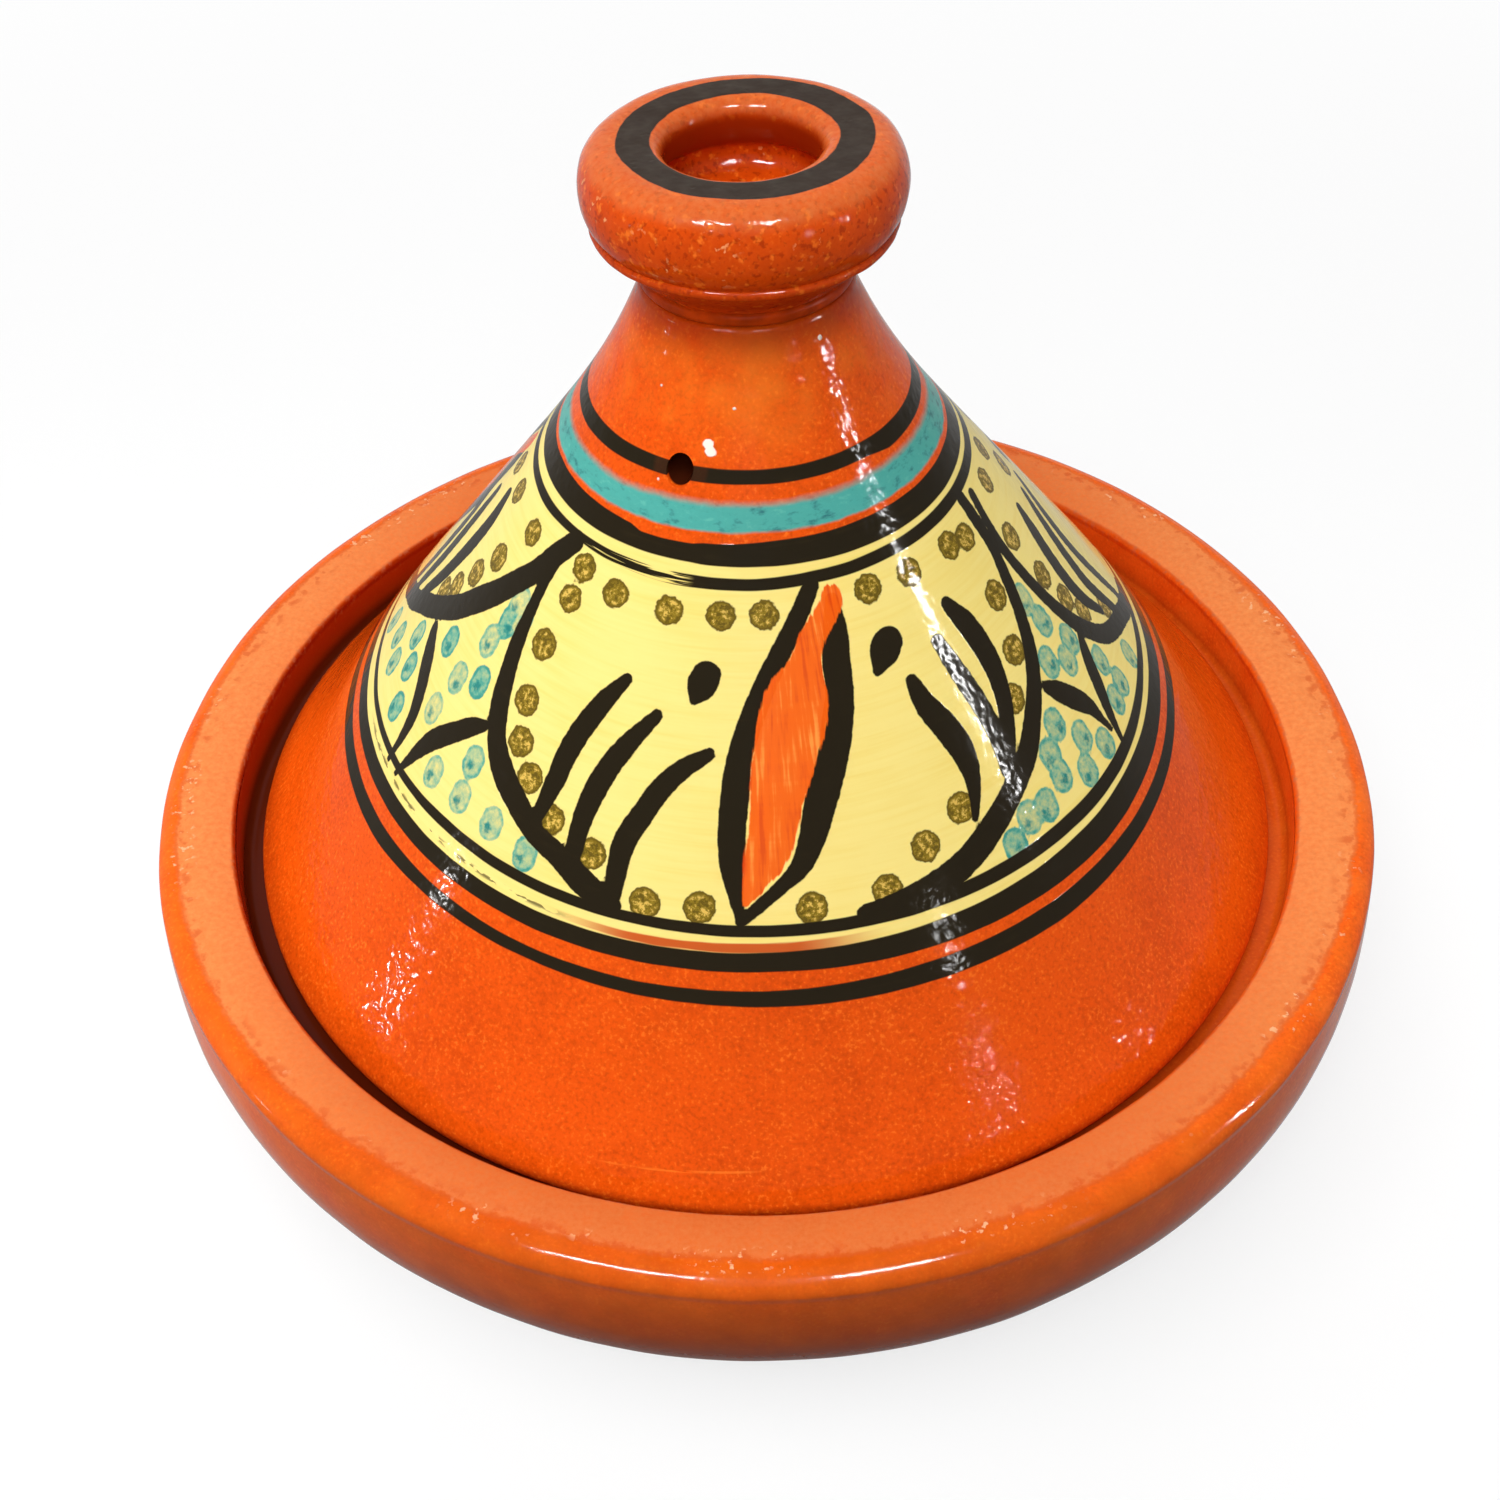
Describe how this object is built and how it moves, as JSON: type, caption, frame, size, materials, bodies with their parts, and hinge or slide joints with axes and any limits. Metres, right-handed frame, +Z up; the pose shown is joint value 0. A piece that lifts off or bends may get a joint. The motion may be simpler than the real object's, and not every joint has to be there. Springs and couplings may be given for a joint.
{
  "type": "tagine pot",
  "caption": "Round glazed earthenware tagine: a thick-rimmed cooking dish with a sunken lid seat, and a tall painted cone lid with a steam hole and a hollow knob that lifts straight off.",
  "frame": {"origin": "centre of the dish's flat underside", "axes": "+Z up along the axis of the dish and the lid, -Y towards the painted front shown in the picture"},
  "size_m": [0.2738, 0.274, 0.2021],
  "materials": {
    "dish_glaze": "clear glossy glaze over terracotta",
    "painted_lid_glaze": "clear glossy glaze over brush painted slip on terracotta",
    "knob_glaze": "clear glossy glaze over terracotta"
  },
  "bodies": {
    "dish": {"base_dish": "dish_glaze"},
    "lid": {"lid_cone": "painted_lid_glaze", "luting_ring": "knob_glaze", "lid_knob": "knob_glaze"}
  },
  "joints": [
    {"name": "lid_lift", "type": "slide", "parent": "dish", "child": "lid", "axis": [0, 0, 1], "range_m": [0, 0.16]}
  ]
}
